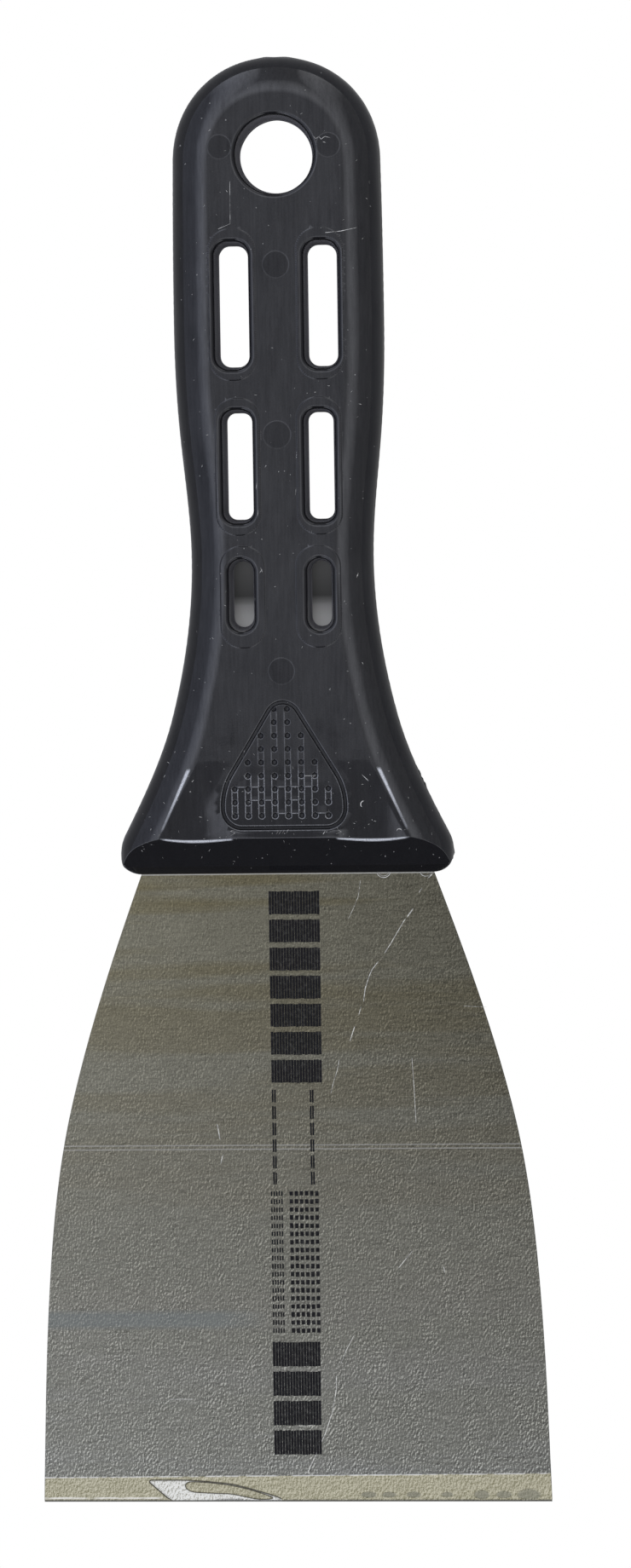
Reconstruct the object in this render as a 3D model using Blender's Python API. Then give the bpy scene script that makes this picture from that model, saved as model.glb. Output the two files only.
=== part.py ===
"""Ink knife: a flat steel spreading blade moulded into a one-piece plastic handle.

The knife lies on its handle. +X runs across the blade, +Y from the working edge to the hanging
hole and +Z through the thickness. The origin is under the middle of the length and width, on the
plane that the handle rests on. Both pieces are drawn about the knife's own centre, which is on
the axis, at the flange line where the steel leaves the handle, halfway through the thickness.
Lengths are in metres.
"""

import math

import bmesh
import bpy
from mathutils import Matrix, Vector

MM = 0.001

# Overall
LENGTH = 224.5 * MM
BLADE_SHOWN = 99.5 * MM
HALF_THICKNESS = 6.6 * MM
GAP = 0.3 * MM

# Blade and tang. Each knot is (y, half width, change of half width with y).
BLADE_THICKNESS = 0.8 * MM
EDGE_THICKNESS = 0.35 * MM
GRIND_WIDTH = 4.2 * MM
BLADE_KNOTS = (
    (-99.5 * MM, 40.0 * MM, -0.040),
    (-69.5 * MM, 38.72 * MM, -0.065),
    (-37.5 * MM, 34.6 * MM, -0.235),
    (0.0, 22.7 * MM, -0.370),
)
SHOULDER_Y = 4.5 * MM
SHOULDER_HALF = 21.0 * MM
TANG_NARROW_Y = 36.0 * MM
TANG_HALF = 10.2 * MM
TANG_END_Y = 51.6 * MM
TANG_CORNER = 3.0 * MM
ANCHOR_HOLES = ((13.0 * MM, 4.0 * MM), (28.0 * MM, 3.2 * MM), (43.2 * MM, 2.4 * MM))

# Handle outline, as knots up the side and then the rounded end
SIDE_KNOTS = (
    (6.12 * MM, 25.10 * MM, -0.512),
    (24.5 * MM, 17.36 * MM, -0.264),
    (48.8 * MM, 14.0 * MM, 0.0),
    (66.6 * MM, 15.33 * MM, 0.093),
    (84.0 * MM, 16.1 * MM, 0.0),
    (109.0 * MM, 15.85 * MM, -0.02),
)
END_SQUARENESS = 2.1
CORNER_RADIUS = 3.2 * MM
SHOULDER_RADIUS = 6.4 * MM
SHOULDER_TURN = math.radians(27.1)

# Handle section
RIM_RADIUS = 6.0 * MM
RIM_SEGMENTS = 6
PAD_HEIGHT = 0.15 * MM
WEB_HALF = HALF_THICKNESS - PAD_HEIGHT
# The flange's front slope, as (y, height above the blade's plane)
FRONT_PROFILE = (
    (-1.2 * MM, 0.3 * MM),
    (0.35 * MM, 1.9 * MM),
    (1.4 * MM, 2.2 * MM),
    (2.4 * MM, 3.8 * MM),
    (4.0 * MM, 5.3 * MM),
    (8.5 * MM, 8.0 * MM),
)

# Hanging hole and side slots. They narrow towards the mould's parting plane.
HOLE_Y = 109.95 * MM
HOLE_RADIUS = 5.5 * MM
HOLE_DRAFT = 0.55 * MM
# Each slot pair is (distance from the axis, y of the centre, width, length, corner roundness)
SLOTS = (
    (6.80 * MM, 87.3 * MM, 4.4 * MM, 18.4 * MM, 0.75),
    (6.25 * MM, 62.9 * MM, 3.8 * MM, 16.3 * MM, 0.85),
    (6.02 * MM, 43.2 * MM, 3.1 * MM, 10.7 * MM, 1.0),
)
SLOT_DRAFT = 0.5 * MM
MOUTH_DEPTH = 0.4 * MM
MOUTH_FLARE = 0.3 * MM
# Each pad pair is (inner edge, outer edge, lower end, upper end)
PADS = (
    (3.1 * MM, 10.2 * MM, 76.0 * MM, 98.8 * MM),
    (2.8 * MM, 9.6 * MM, 52.5 * MM, 73.3 * MM),
    (2.4 * MM, 9.2 * MM, 35.3 * MM, 50.8 * MM),
)
PAD_CORNER = 3.2 * MM

# Thumb rest: a stepped triangular recess with rows of dimples
THUMB_APEX = (24.35 * MM, 2.85 * MM)
THUMB_SIDE = (-0.2 * MM, 11.0 * MM, 9.9 * MM)
THUMB_CORNER = (6.4 * MM, 10.6 * MM, 3.3 * MM)
THUMB_TURN = math.radians(31.0)
THUMB_STEPS = ((0.0, 0.25 * MM), (0.8 * MM, 0.5 * MM))
DIMPLE_COUNTS = (8, 8, 8, 6, 6, 4, 4, 2, 2)
DIMPLE_PITCH = 2.05 * MM
DIMPLE_ORIGIN = (-0.35 * MM, 9.5 * MM)
DIMPLE_RADIUS = 0.47 * MM
DIMPLE_DEPTH = 0.35 * MM

# Where the knife's own centre sits in the world
CENTRE = Vector((0.0, BLADE_SHOWN - LENGTH / 2, HALF_THICKNESS))
CLEAR = 2.0 * MM


def clear_scene():
    for obj in list(bpy.data.objects):
        bpy.data.objects.remove(obj, do_unlink=True)


def hermite(knots, y):
    """Half width at y on the smooth curve through the knots."""
    for (y0, x0, s0), (y1, x1, s1) in zip(knots, knots[1:]):
        if y <= y1:
            break
    span = y1 - y0
    t = (y - y0) / span
    a = 2 * t**3 - 3 * t**2 + 1
    b = t**3 - 2 * t**2 + t
    c = t**3 - t**2
    return a * x0 + b * span * s0 + (1 - a) * x1 + c * span * s1


def arc(x, y, radius, start, end, steps):
    """Points on a circular arc, both ends included; the angles are in radians."""
    turn = (end - start) / steps
    return [
        (x + radius * math.cos(start + turn * i), y + radius * math.sin(start + turn * i))
        for i in range(steps + 1)
    ]


def stations(low, high, spacing):
    """Evenly spaced values from low to high, both included."""
    count = max(1, round((high - low) / spacing))
    return [low + (high - low) * i / count for i in range(count + 1)]


def both_sides(right):
    """Closed outline from its right half, which runs upwards."""
    left = [(-x, y) for x, y in reversed(right) if x > 1e-9]
    return right + left


def rounded_box(x, y, width, length, radius):
    """Outline of a rectangle with round corners, counter-clockwise."""
    a, b = width / 2 - radius, length / 2 - radius
    outline = []
    for quarter, (cx, cy) in enumerate(((a, -b), (a, b), (-a, b), (-a, -b))):
        start = (quarter - 1) * math.pi / 2
        outline += arc(x + cx, y + cy, radius, start, start + math.pi / 2, 5)
    return outline


def link(name, mesh):
    obj = bpy.data.objects.new(name, mesh)
    obj.location = CENTRE
    bpy.context.scene.collection.objects.link(obj)
    return obj


def loft(name, levels):
    """Closed solid through stacked outlines, each (z, outline), with as many points in each."""
    form = bmesh.new()
    rings = [[form.verts.new((x, y, z)) for x, y in outline] for z, outline in levels]
    form.faces.new(reversed(rings[0]))
    form.faces.new(rings[-1])
    for low, high in zip(rings, rings[1:]):
        for i, corner in enumerate(low):
            j = (i + 1) % len(low)
            form.faces.new((corner, low[j], high[j], high[i]))
    bmesh.ops.remove_doubles(form, verts=form.verts, dist=1e-7)
    mesh = bpy.data.meshes.new(name)
    form.to_mesh(mesh)
    form.free()
    return link(name, mesh)


def joined(name, objects):
    """One object from several separate shapes, all drawn about the same centre."""
    form = bmesh.new()
    for obj in objects:
        form.from_mesh(obj.data)
        bpy.data.objects.remove(obj, do_unlink=True)
    mesh = bpy.data.meshes.new(name)
    form.to_mesh(mesh)
    form.free()
    return link(name, mesh)


def turned_on_side(obj):
    """Turns a solid drawn in the Y-Z plane, and extruded along Z, to run along X."""
    obj.data.transform(Matrix(((0, 0, 1, 0), (1, 0, 0, 0), (0, 1, 0, 0), (0, 0, 0, 1))))
    return obj


def apply_tool(body, tool, operation):
    tool.hide_render = True
    tool.display_type = "WIRE"
    modifier = body.modifiers.new(tool.name, "BOOLEAN")
    modifier.operation = operation
    modifier.solver = "EXACT"
    modifier.object = tool


def paint(obj, name, colour, roughness, metallic):
    material = bpy.data.materials.new(name)
    material.use_nodes = True
    shader = material.node_tree.nodes["Principled BSDF"]
    shader.inputs["Base Color"].default_value = (*colour, 1.0)
    shader.inputs["Roughness"].default_value = roughness
    shader.inputs["Metallic"].default_value = metallic
    obj.data.materials.append(material)


def shade(obj, angle):
    obj.data.shade_smooth()
    obj.data.set_sharp_from_angle(angle=math.radians(angle))


# Blade


def tang_side(grow):
    """Right side of the tang inside the handle, grown outwards by the given distance."""
    end = TANG_END_Y + grow
    half = TANG_HALF + grow
    radius = TANG_CORNER + grow
    corner = arc(half - radius, end - radius, radius, 0, math.pi / 2, 6)
    return [(SHOULDER_HALF + grow, SHOULDER_Y), (half, TANG_NARROW_Y), *corner]


def blade():
    low, high = BLADE_KNOTS[0][0], BLADE_KNOTS[-1][0]
    side = [(hermite(BLADE_KNOTS, y), y) for y in stations(low, high, 6 * MM)]
    outline = both_sides(side + tang_side(0.0))
    half = BLADE_THICKNESS / 2
    body = loft("blade", [(-half, outline), (half, outline)])
    grinds = []
    for sign in (-1, 1):
        profile = [
            (low - CLEAR, sign * EDGE_THICKNESS / 2),
            (low, sign * EDGE_THICKNESS / 2),
            (low + GRIND_WIDTH, sign * half),
            (low + GRIND_WIDTH, sign * (half + CLEAR)),
            (low - CLEAR, sign * (half + CLEAR)),
        ]
        if sign < 0:
            profile.reverse()
        reach = BLADE_KNOTS[0][1] + CLEAR
        grinds.append(turned_on_side(loft("grind", [(-reach, profile), (reach, profile)])))
    apply_tool(body, joined("grind_tool", grinds), "DIFFERENCE")
    holes = [
        loft("anchor", [(z, arc(0, y, r, 0, 2 * math.pi, 24)[:-1]) for z in (-CLEAR, CLEAR)])
        for y, r in ANCHOR_HOLES
    ]
    apply_tool(body, joined("anchor_tool", holes), "DIFFERENCE")
    paint(body, "blade_steel", (0.36, 0.35, 0.30), 0.32, 1.0)
    shade(body, 20)
    return body


# Handle


def handle_side():
    """Right side of the handle, from below the flange up to the end's middle."""
    shoulder_x = SIDE_KNOTS[0][1] - SHOULDER_RADIUS * math.cos(SHOULDER_TURN)
    shoulder_y = SIDE_KNOTS[0][0] - SHOULDER_RADIUS * math.sin(SHOULDER_TURN)
    shoulder = arc(shoulder_x, shoulder_y, SHOULDER_RADIUS, 0, SHOULDER_TURN, 5)
    foot = (shoulder[0][0], -8 * MM)
    low, high = SIDE_KNOTS[0][0], SIDE_KNOTS[-1][0]
    side = [(hermite(SIDE_KNOTS, y), y) for y in stations(low, high, 4.5 * MM)[1:]]
    power = 2 / END_SQUARENESS
    across = SIDE_KNOTS[-1][1]
    along = LENGTH - BLADE_SHOWN - high
    end = []
    for i in range(1, 13):
        turn = math.pi / 2 * i / 12
        end.append((across * max(math.cos(turn), 0) ** power, high + along * math.sin(turn) ** power))
    end[-1] = (0.0, high + along)
    return [foot, *shoulder, *side, *end]


def handle_blank():
    """The handle's slab, with its rim rounded all round but for the flange end."""
    outline = both_sides(handle_side())
    blank = loft("handle", [(-WEB_HALF, outline), (WEB_HALF, outline)])
    form = bmesh.new()
    form.from_mesh(blank.data)
    foot = min(y for _, y in outline)
    rim = [
        edge
        for edge in form.edges
        if abs(edge.verts[0].co.z - edge.verts[1].co.z) < 1e-6
        and max(v.co.y for v in edge.verts) > foot + 1e-6
    ]
    bmesh.ops.bevel(
        form,
        geom=rim,
        offset=RIM_RADIUS,
        segments=RIM_SEGMENTS,
        profile=0.5,
        affect="EDGES",
        clamp_overlap=False,
    )
    form.to_mesh(blank.data)
    form.free()
    return blank


def flange_plan():
    """Keeps the inside of the flange's rounded front corners."""
    corner_x = SIDE_KNOTS[0][1] + SHOULDER_RADIUS * (1 - math.cos(SHOULDER_TURN)) - CORNER_RADIUS
    corner = arc(corner_x, CORNER_RADIUS, CORNER_RADIUS, -math.pi / 2, math.radians(-8), 6)
    right = [*corner, (40 * MM, 8 * MM), (40 * MM, 130 * MM)]
    outline = both_sides(right)
    deep = HALF_THICKNESS + CLEAR
    return loft("flange_plan_tool", [(-deep, outline), (deep, outline)])


def flange_front():
    """Keeps what is behind the flange's sloping front faces."""
    back = LENGTH
    lower = [(y, -z) for y, z in FRONT_PROFILE]
    deep = HALF_THICKNESS + 4 * CLEAR
    profile = [*lower, (back, -deep), (back, deep), *reversed(FRONT_PROFILE)]
    reach = 40 * MM
    return turned_on_side(loft("flange_front_tool", [(-reach, profile), (reach, profile)]))


def pads():
    """Low raised pads round the slots, on both faces."""
    made = []
    for inner, outer, low, high in PADS:
        for side in (-1, 1):
            outline = rounded_box(
                side * (inner + outer) / 2, (low + high) / 2, outer - inner, high - low, PAD_CORNER
            )
            made.append(loft("pad", [(-HALF_THICKNESS, outline), (HALF_THICKNESS, outline)]))
    return joined("pad_tool", made)


def drafted(outline_of):
    """Through cutter from outline_of(growth): narrowest at mid-plane, flared at each mouth."""
    mouth = HALF_THICKNESS - MOUTH_DEPTH
    top = HALF_THICKNESS + CLEAR
    levels = (
        (-top, 1 + MOUTH_FLARE / SLOT_DRAFT * (1 + CLEAR / MOUTH_DEPTH)),
        (-mouth, 1.0),
        (0.0, 0.0),
        (mouth, 1.0),
        (top, 1 + MOUTH_FLARE / SLOT_DRAFT * (1 + CLEAR / MOUTH_DEPTH)),
    )
    return loft("opening", [(z, outline_of(growth)) for z, growth in levels])


def openings():
    """The hanging hole, the two pairs of through slots and the pair of windows on the tang."""
    hole = drafted(
        lambda growth: arc(0, HOLE_Y, HOLE_RADIUS + growth * HOLE_DRAFT, 0, 2 * math.pi, 40)[:-1]
    )
    made = [hole]
    for x, y, width, length, roundness in SLOTS:
        for side in (-1, 1):

            def outline(growth, side=side, x=x, y=y, width=width, length=length, roundness=roundness):
                more = 2 * growth * SLOT_DRAFT
                radius = roundness * (width + more) / 2 - 1e-6
                return rounded_box(side * x, y, width + more, length + more, radius)

            made.append(drafted(outline))
    return joined("opening_tool", made)


def thumb_outline(inset):
    """Rounded triangle of the thumb rest, moved inwards by inset."""
    apex_y, apex_radius = THUMB_APEX
    side_x, side_y, side_radius = THUMB_SIDE
    corner_x, corner_y, corner_radius = THUMB_CORNER
    right = arc(corner_x, corner_y, corner_radius - inset, -math.pi / 2, 0, 6)
    right += arc(side_x, side_y, side_radius - inset, 0, THUMB_TURN, 4)
    right += arc(0, apex_y, apex_radius - inset, THUMB_TURN, math.pi / 2, 4)
    right[-1] = (0.0, right[-1][1])
    return both_sides(right)


def faced(name, outline, depth):
    """A pair of cutters that sink the outline to a depth in each face of the web."""
    made = []
    for sign in (-1, 1):
        ends = sorted((sign * (WEB_HALF - depth), sign * (HALF_THICKNESS + CLEAR)))
        made.append(loft(name, [(z, outline) for z in ends]))
    return made


def dimples():
    made = []
    for row, count in enumerate(DIMPLE_COUNTS):
        for column in range(count):
            x = DIMPLE_ORIGIN[0] + (column - (count - 1) / 2) * DIMPLE_PITCH
            y = DIMPLE_ORIGIN[1] + row * DIMPLE_PITCH
            outline = arc(x, y, DIMPLE_RADIUS, 0, 2 * math.pi, 8)[:-1]
            made += faced("dimple", outline, THUMB_STEPS[-1][1] + DIMPLE_DEPTH)
    return joined("dimple_tool", made)


def tang_pocket():
    """The space that the steel fills, with the moulding gap, open at the flange's front."""
    mouth = BLADE_KNOTS[-1][1] + GAP
    outline = both_sides([(mouth + CLEAR * 0.37, -CLEAR), (mouth, 0.0), *tang_side(GAP)])
    half = BLADE_THICKNESS / 2 + GAP
    return loft("pocket_tool", [(-half, outline), (half, outline)])


def pegs():
    """Plastic that runs through the tang's anchor holes and locks it."""
    depth = BLADE_THICKNESS / 2 + 3 * GAP
    made = [
        loft("peg", [(z, arc(0, y, r - GAP, 0, 2 * math.pi, 20)[:-1]) for z in (-depth, depth)])
        for y, r in ANCHOR_HOLES
    ]
    return joined("peg_tool", made)


def handle():
    body = handle_blank()
    apply_tool(body, flange_plan(), "INTERSECT")
    apply_tool(body, flange_front(), "INTERSECT")
    apply_tool(body, pads(), "UNION")
    apply_tool(body, openings(), "DIFFERENCE")
    for step, (inset, depth) in enumerate(THUMB_STEPS):
        recess = joined(f"thumb_tool_{step}", faced("thumb", thumb_outline(inset), depth))
        apply_tool(body, recess, "DIFFERENCE")
    apply_tool(body, dimples(), "DIFFERENCE")
    apply_tool(body, tang_pocket(), "DIFFERENCE")
    apply_tool(body, pegs(), "UNION")
    paint(body, "handle_plastic", (0.018, 0.018, 0.021), 0.24, 0.0)
    shade(body, 25)
    return body


clear_scene()
blade()
handle()
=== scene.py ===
"""Looks of an ink knife: a lacquered steel blade moulded into a one-piece black plastic handle.

Each piece is a closed mesh over a plan view: a triangulated plan whose points lie thickest where the
surface turns fastest, a height for the upper face and another for the lower face. Shapes are worked
out in millimetres about the knife's own centre: x across the blade, y from the working edge to the
hanging hole with y zero where the steel leaves the plastic, and z from the middle of the thickness.
`placed` turns them into the frame's metres. Print, scratches and fibres are thin bars on those faces.
"""

import math
import random
from functools import reduce

import bpy
import numpy as np
from mathutils import Matrix, Vector
from mathutils.geometry import delaunay_2d_cdt
from mathutils.kdtree import KDTree


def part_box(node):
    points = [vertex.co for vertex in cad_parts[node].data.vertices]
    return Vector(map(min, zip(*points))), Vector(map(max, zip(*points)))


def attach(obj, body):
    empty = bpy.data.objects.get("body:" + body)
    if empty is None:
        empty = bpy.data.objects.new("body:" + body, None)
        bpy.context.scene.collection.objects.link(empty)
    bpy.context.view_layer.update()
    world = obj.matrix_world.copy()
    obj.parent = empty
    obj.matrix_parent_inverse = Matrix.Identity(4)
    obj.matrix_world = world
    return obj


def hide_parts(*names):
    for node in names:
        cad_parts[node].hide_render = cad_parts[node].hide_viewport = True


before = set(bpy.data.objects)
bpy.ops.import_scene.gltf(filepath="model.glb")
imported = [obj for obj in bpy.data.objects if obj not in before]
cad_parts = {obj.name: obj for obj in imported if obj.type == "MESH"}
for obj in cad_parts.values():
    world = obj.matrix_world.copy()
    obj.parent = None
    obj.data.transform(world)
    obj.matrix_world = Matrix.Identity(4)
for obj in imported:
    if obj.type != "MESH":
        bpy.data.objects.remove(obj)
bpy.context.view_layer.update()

MM = 0.001

# Driving dimensions, from the frame
BLADE_LOW, BLADE_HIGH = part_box("blade")
HANDLE_LOW, HANDLE_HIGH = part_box("handle")
CENTRE = Vector((0.0, HANDLE_LOW.y, (HANDLE_LOW.z + HANDLE_HIGH.z) / 2))
BLADE_SHOWN = (HANDLE_LOW.y - BLADE_LOW.y) / MM
TANG_END = (BLADE_HIGH.y - HANDLE_LOW.y) / MM
HANDLE_LENGTH = (HANDLE_HIGH.y - HANDLE_LOW.y) / MM
HALF_THICKNESS = (HANDLE_HIGH.z - HANDLE_LOW.z) / 2 / MM
BLADE_HALF = (BLADE_HIGH.z - BLADE_LOW.z) / 2 / MM
EDGE_HALF_WIDTH = BLADE_HIGH.x / MM

# Handle outline, as knots (y, half width, change of half width with y), then the rounded end
SIDE_KNOTS = (
    (6.12, 25.10, -0.512),
    (24.5, 17.36, -0.264),
    (48.8, 14.0, 0.0),
    (66.6, 15.33, 0.093),
    (84.0, 16.1, 0.0),
    (109.0, 15.85, -0.02),
)
END_SQUARENESS = 2.1
CORNER_RADIUS = 3.2
SHOULDER_RADIUS = 6.4
SHOULDER_TURN = math.radians(27.1)

# Handle section
RIM_RADIUS = 6.0
PAD_HEIGHT = 0.15
WEB_HALF = HALF_THICKNESS - PAD_HEIGHT
SEAM = WEB_HALF - RIM_RADIUS
EDGE_FILLET = 0.25
# The flange's front, as (y, height above the blade's middle plane)
FRONT_PROFILE = ((0.0, 0.85), (1.42, 2.62), (1.66, 2.74), (8.5, 8.48))

# Through openings and windows: (x, y, width, length, corner roundness)
HOLE = (0.0, 109.95, 11.0, 11.0, 1.0)
SLOTS = (
    (6.80, 87.3, 4.4, 18.4, 0.75),
    (6.25, 62.9, 3.8, 16.3, 0.72),
)
WINDOW = (6.02, 43.3, 3.0, 10.1, 1.0)
THROUGH = (HOLE, *SLOTS)
OPENINGS = (*THROUGH, WINDOW)
DRAFT = 0.5
MOUTH_RADIUS = 0.42
# Slight bevel outside sharp edges: width and slope
BEVEL = 0.15
BEVEL_SLOPE = 0.22
WINDOW_FLOOR = BLADE_HALF - 0.05
# Raised pads round them: (inner edge, outer edge, lower end, upper end)
PADS = (
    (3.1, 10.2, 76.0, 98.8),
    (2.8, 9.6, 52.5, 73.3),
    (2.4, 9.2, 35.3, 50.8),
)
PAD_CORNER = 3.2
PAD_SLOPE = 0.16

# Thumb rest
THUMB_APEX = (24.35, 2.85)
THUMB_SIDE = (-0.2, 11.0, 9.9)
THUMB_CORNER = (6.4, 10.6, 3.3)
THUMB_TURN = math.radians(31.0)
# The groove round it, as (distance inside the outline, depth), and the depth of the panel inside
THUMB_GROOVE = (
    (-BEVEL, 0.0), (0.0, BEVEL * BEVEL_SLOPE), (0.16, 0.36), (0.46, 0.36), (0.62, 0.1),
    (0.62 + BEVEL, 0.08),
)
# Rows of dimples from the flange up, their spacing, and the middle of the lowest row
DIMPLE_COUNTS = (8, 8, 8, 6, 6, 4, 4, 2, 2)
DIMPLE_PITCH = 2.05
DIMPLE_ORIGIN = (-0.35, 9.5)
DIMPLE_RADIUS = 0.44
DIMPLE_DEPTH = 0.26

# Finger hollows on both sides of the thumb rest, and the crests that bound them
HOLLOW_DEPTH = 0.42
HOLLOW_TOP = 17.6
HOLLOW_FRONT = 5.6
CREST_LOW = (18.9, 7.2)
CREST_HIGH = (14.5, 16.9)
# How far off the crest a point is, for each millimetre across the knife
CREST_LEAN = 0.91
THUMB_STRIP = 8.3

# Ejector marks on the upper face: (x, y, radius)
EJECTOR_MARKS = (
    (0.0, 93.4, 2.0), (-0.2, 67.7, 2.1), (-0.1, 31.7, 2.0), (-8.3, 111.2, 1.8), (8.2, 111.2, 1.8),
)

# Blade: (y, half width, slope) from the working edge up, then the tang inside the handle
BLADE_KNOTS = (
    (-BLADE_SHOWN, EDGE_HALF_WIDTH, -0.040),
    (-69.5, 38.72, -0.065),
    (-37.5, 34.6, -0.235),
    (0.0, 22.7, -0.370),
)
SHOULDER = (21.0, 4.5)
TANG_NARROW = (10.2, 36.0)
TANG_CORNER = 3.0
GRIND_WIDTH = 4.25
GRIND_SLANT = 0.0075
EDGE_HALF = 0.175

# Spacing of the mesh where nothing asks for more
HANDLE_GRID = 0.76
BLADE_GRID = 1.0
# A little more than the flange's half width
PAST_FLANGE = 26.0

RANDOM = random.Random(11)


# Curves and distances


def hermite(knots, y):
    """Half width at each y on the smooth curve through the knots."""
    ys, xs, slopes = np.array(knots).T
    i = np.clip(np.searchsorted(ys, y) - 1, 0, len(ys) - 2)
    span = ys[i + 1] - ys[i]
    t = (y - ys[i]) / span
    a = 2 * t**3 - 3 * t**2 + 1
    b = (t**3 - 2 * t**2 + t) * span
    c = (t**3 - t**2) * span
    return a * xs[i] + b * slopes[i] + (1 - a) * xs[i + 1] + c * slopes[i + 1]


def arc(x, y, radius, start, end, spacing=0.12):
    """Points on a circular arc, both ends included; the angles are in radians."""
    steps = max(3, math.ceil(radius * abs(end - start) / spacing))
    turn = np.linspace(start, end, steps + 1)
    return np.column_stack((x + radius * np.cos(turn), y + radius * np.sin(turn)))


def straight(start, end, spacing=0.12):
    steps = max(1, math.ceil(math.dist(start, end) / spacing))
    return np.linspace(start, end, steps + 1)


def chain(*stretches):
    """One polyline from stretches that meet end to end."""
    points = [stretches[0][:1]]
    for stretch in stretches:
        points.append(stretch[1:] if math.dist(stretch[0], points[-1][-1]) < 1e-6 else stretch)
    return np.concatenate(points)


def spaced(points, spacing):
    """The same polyline with evenly spaced points."""
    steps = np.hypot(*np.diff(points, axis=0).T)
    along = np.concatenate(([0.0], np.cumsum(steps)))
    places = np.linspace(0.0, along[-1], max(2, round(along[-1] / spacing)) + 1)
    return np.column_stack([np.interp(places, along, points[:, k]) for k in (0, 1)])


def mirrored(right):
    """A closed loop, counter-clockwise, from its right half, which runs upwards from x = 0 to x = 0."""
    left = right[::-1][1:-1] * (-1, 1)
    return np.concatenate((right, left))


class Line:
    """A dense polyline that can say how far points lie to its left."""

    def __init__(self, points, closed=False):
        self.points = np.concatenate((points, points[:1])) if closed else np.asarray(points)
        self.closed = closed
        self.tree = KDTree(len(self.points))
        for i, (x, y) in enumerate(self.points):
            self.tree.insert((x, y, 0.0), i)
        self.tree.balance()

    def distance(self, x, y):
        place = np.column_stack((x, y))
        nearest = np.array([self.tree.find((a, b, 0.0))[1] for a, b in place], dtype=int)
        count = len(self.points) - 1
        before, after = nearest - 1, nearest
        if self.closed:
            before, after = before % count, after % count
        else:
            before, after = np.clip(before, 0, count - 1), np.clip(after, 0, count - 1)
        gaps, sides, units, shares = [], [], [], []
        for i in (before, after):
            along = self.points[i + 1] - self.points[i]
            length = np.hypot(*along.T)
            unit = along / length[:, None]
            off = place - self.points[i]
            share = (off * unit).sum(1)
            held = np.clip(share, 0, length)
            gaps.append(np.hypot(*(off - held[:, None] * unit).T))
            sides.append(unit[:, 0] * off[:, 1] - unit[:, 1] * off[:, 0])
            units.append(unit)
            shares.append(share - length if i is before else share)
        off = place - self.points[nearest]
        bisector = units[0] + units[1]
        at_corner = (shares[0] >= 0) & (shares[1] <= 0)
        corner = bisector[:, 0] * off[:, 1] - bisector[:, 1] * off[:, 0]
        side = np.where(at_corner, corner, np.where(gaps[0] < gaps[1], sides[0], sides[1]))
        return np.sign(side) * np.minimum(gaps[0], gaps[1])


def box_distance(x, y, box):
    """Distance outside a round-cornered box (x, y, width, length, roundness); negative inside."""
    cx, cy, width, length, roundness = box
    radius = roundness * width / 2
    qx = np.abs(x - cx) - (width / 2 - radius)
    qy = np.abs(y - cy) - (length / 2 - radius)
    outside = np.hypot(np.maximum(qx, 0), np.maximum(qy, 0))
    return outside + np.minimum(np.maximum(qx, qy), 0) - radius


def box_loop(box, grow, spacing):
    """Points round that box, counter-clockwise, grown outwards."""
    cx, cy, width, length, roundness = box
    radius = max(roundness * width / 2, 1e-3)
    a, b = width / 2 - radius, length / 2 - radius
    radius += grow
    corners = ((a, -b), (a, b), (-a, b), (-a, -b))
    points = np.concatenate([
        arc(cx + sx, cy + sy, radius, (k - 1) * math.pi / 2, k * math.pi / 2, spacing)
        for k, (sx, sy) in enumerate(corners)
    ])
    points = np.concatenate((points, points[:1]))
    return spaced(points[np.append(True, np.hypot(*np.diff(points, axis=0).T) > 1e-6)], spacing)[:-1]


def ramp(value, start, width):
    """Smooth step from 0 to 1 as the value passes from start to start + width."""
    t = np.clip((value - start) / width, 0, 1)
    return t * t * (3 - 2 * t)


def smooth_min(a, b, blend):
    h = np.clip(0.5 + (b - a) / (2 * blend), 0, 1)
    return b + (a - b) * h - blend * h * (1 - h)


def rounded(inside, radius):
    """How far a face drops near a rounded edge, at a distance inside it."""
    gap = np.clip(radius - inside, 0, radius)
    return radius - np.sqrt(np.maximum(radius**2 - gap**2, 0))


def segment_distance(x, y, start, end):
    """Distance to a straight segment."""
    ax, ay = end[0] - start[0], end[1] - start[1]
    share = np.clip(((x - start[0]) * ax + (y - start[1]) * ay) / (ax * ax + ay * ay), 0, 1)
    return np.hypot(x - start[0] - share * ax, y - start[1] - share * ay)


def bell(value, middle, half):
    """1 at the middle, falling straight to 0 at half either side."""
    return np.clip(1 - np.abs(value - middle) / half, 0, 1)


# Meshes over a plan


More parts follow.
